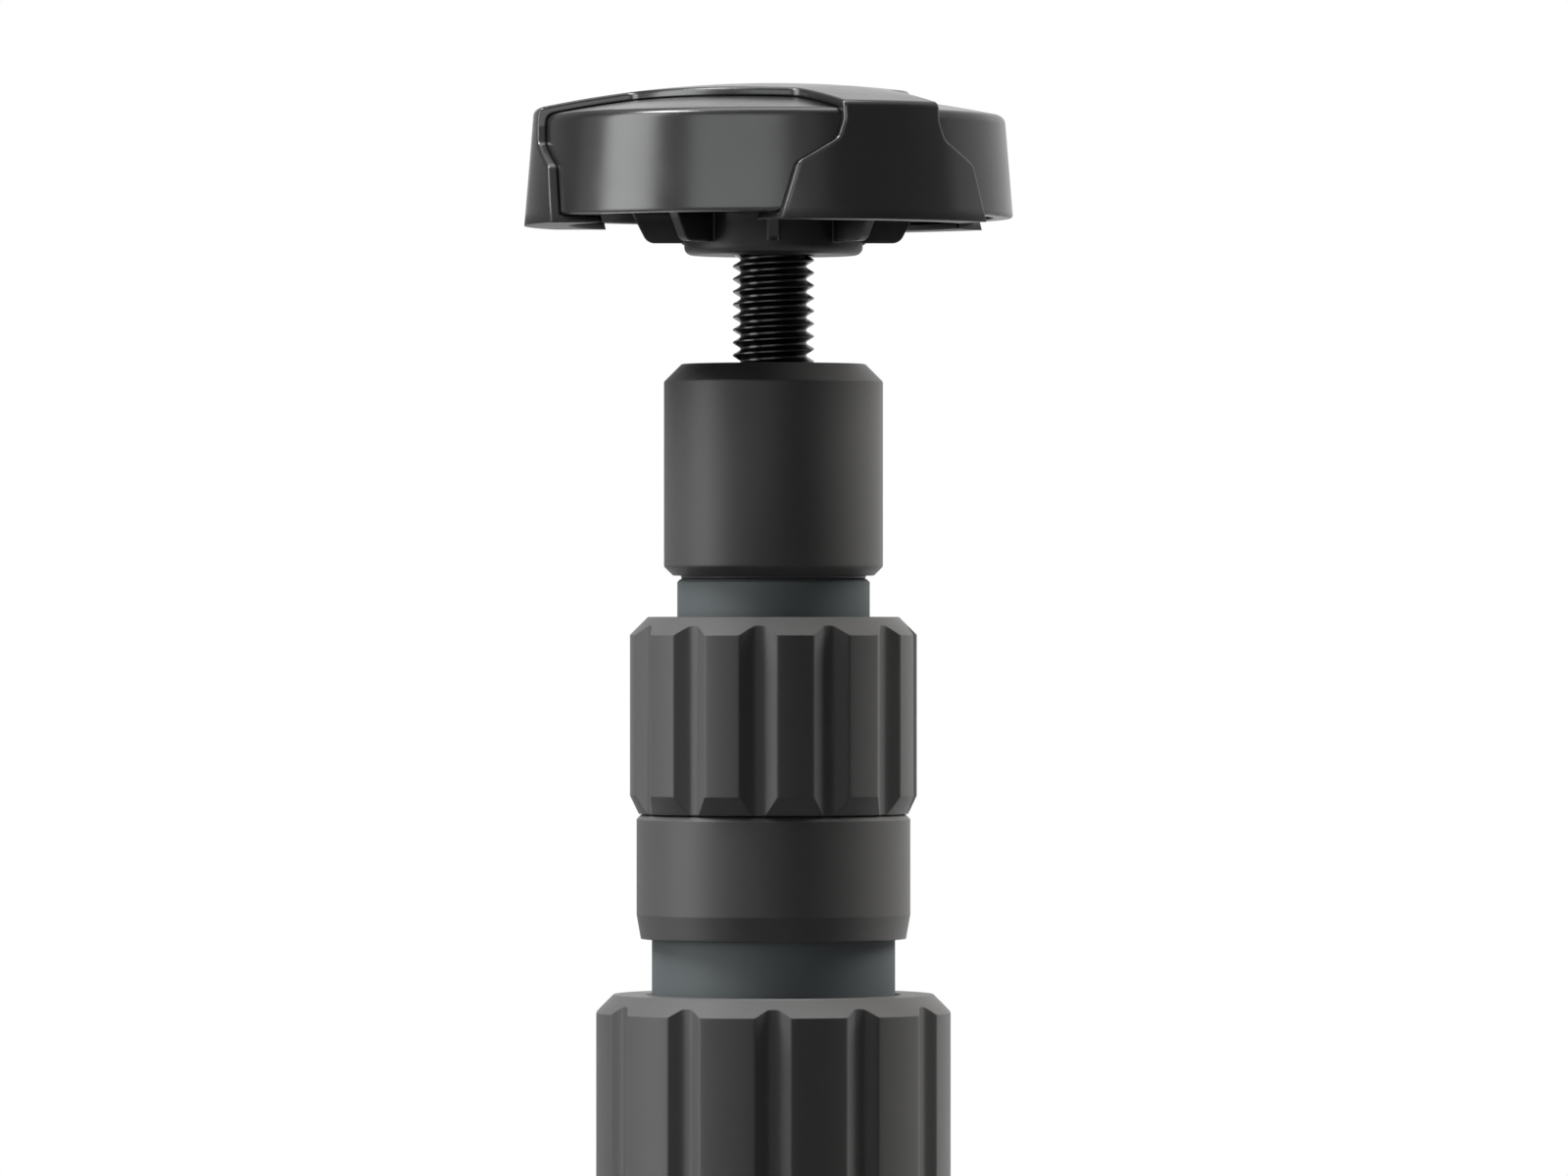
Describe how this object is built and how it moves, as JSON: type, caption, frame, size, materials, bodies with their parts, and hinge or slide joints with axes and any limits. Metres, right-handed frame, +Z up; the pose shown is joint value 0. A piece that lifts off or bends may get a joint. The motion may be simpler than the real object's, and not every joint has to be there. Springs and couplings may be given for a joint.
{
  "type": "tripod",
  "caption": "Compact tripod with a telescopic column on fluted twist locks, a three-arm hand knob on a clamping screw, and three folding legs with rubber feet.",
  "frame": {"origin": "on the floor under the column's axis, legs open", "axes": "+Z up the column's axis; leg 1 points along +Y; the picture looks along +Y"},
  "size_m": [0.3122, 0.2723, 0.3863],
  "materials": {
    "anodised": "fine satin dark grey anodising",
    "tube": "smooth dark blue-grey anodising",
    "bare_aluminium": "as turned",
    "black_steel": "glossy black oxide",
    "knob_plastic": "glossy black moulding",
    "acetal": "smooth black moulding",
    "rubber": "matt black rubber"
  },
  "bodies": {
    "base": {"hub": "anodised", "outer_tube": "tube", "lower_ferrule": "anodised", "tube_plug": "bare_aluminium", "hub_bolt": "black_steel", "hinge_screws": "black_steel", "friction_washers": "acetal"},
    "lower_collet": {"lower_collet": "acetal", "lower_wiper_ring": "rubber"},
    "lower_nut": {"lower_lock_nut": "anodised"},
    "middle_section": {"middle_tube": "tube", "upper_ferrule": "anodised", "middle_guide_shims": "acetal"},
    "upper_collet": {"upper_collet": "acetal", "upper_wiper_ring": "rubber"},
    "upper_nut": {"upper_lock_nut": "anodised"},
    "inner_section": {"inner_tube": "tube", "inner_guide_shims": "acetal", "end_collar": "anodised"},
    "screw": {"clamp_screw": "black_steel"},
    "knob": {"knob_shell": "knob_plastic", "knob_cover": "knob_plastic"},
    "leg_1": {"leg_1": "anodised", "foot_1": "rubber"},
    "leg_2": {"leg_2": "anodised", "foot_2": "rubber"},
    "leg_3": {"leg_3": "anodised", "foot_3": "rubber"}
  },
  "joints": [
    {"name": "leg_1_fold", "type": "hinge", "parent": "base", "child": "leg_1", "pos_m": [0, 0.015, 0.08917], "axis": [-1, 0, 0], "range_deg": [0, 62]},
    {"name": "leg_2_fold", "type": "hinge", "parent": "base", "child": "leg_2", "pos_m": [-0.01299, -0.0075, 0.08917], "axis": [0.5, -0.866, 0], "range_deg": [0, 62]},
    {"name": "leg_3_fold", "type": "hinge", "parent": "base", "child": "leg_3", "pos_m": [0.01299, -0.0075, 0.08917], "axis": [0.5, 0.866, 0], "range_deg": [0, 62]},
    {"name": "lower_collet_lift", "type": "slide", "parent": "base", "child": "lower_collet", "axis": [0, 0, 1], "range_m": [0, 0.0005]},
    {"name": "lower_nut_turn", "type": "hinge", "parent": "lower_collet", "child": "lower_nut", "pos_m": [0, 0, 0.27297], "axis": [0, 0, 1], "range_deg": [0, 120.05]},
    {"name": "middle_slide", "type": "slide", "parent": "base", "child": "middle_section", "axis": [0, 0, 1], "range_m": [-0.0048, 0.1339]},
    {"name": "upper_collet_lift", "type": "slide", "parent": "middle_section", "child": "upper_collet", "axis": [0, 0, 1], "range_m": [0, 0.0005]},
    {"name": "upper_nut_turn", "type": "hinge", "parent": "upper_collet", "child": "upper_nut", "pos_m": [0, 0, 0.31427], "axis": [0, 0, 1], "range_deg": [0, 120.05]},
    {"name": "inner_slide", "type": "slide", "parent": "middle_section", "child": "inner_section", "axis": [0, 0, 1], "range_m": [-0.0034, 0.15547]},
    {"name": "screw_feed", "type": "slide", "parent": "inner_section", "child": "screw", "axis": [0, 0, 1], "range_m": [-0.0106, 0.012]},
    {"name": "knob_turn", "type": "hinge", "parent": "screw", "child": "knob", "pos_m": [0, 0, 0.3694], "axis": [0, 0, 1], "range_deg": [-3053, 3456.2]}
  ],
  "couplings": [
    {"joint": "lower_nut_turn", "follows": "lower_collet_lift", "rad_per_m": 4188.8},
    {"joint": "upper_nut_turn", "follows": "upper_collet_lift", "rad_per_m": 4188.8},
    {"joint": "knob_turn", "follows": "screw_feed", "rad_per_m": 5026.5}
  ]
}
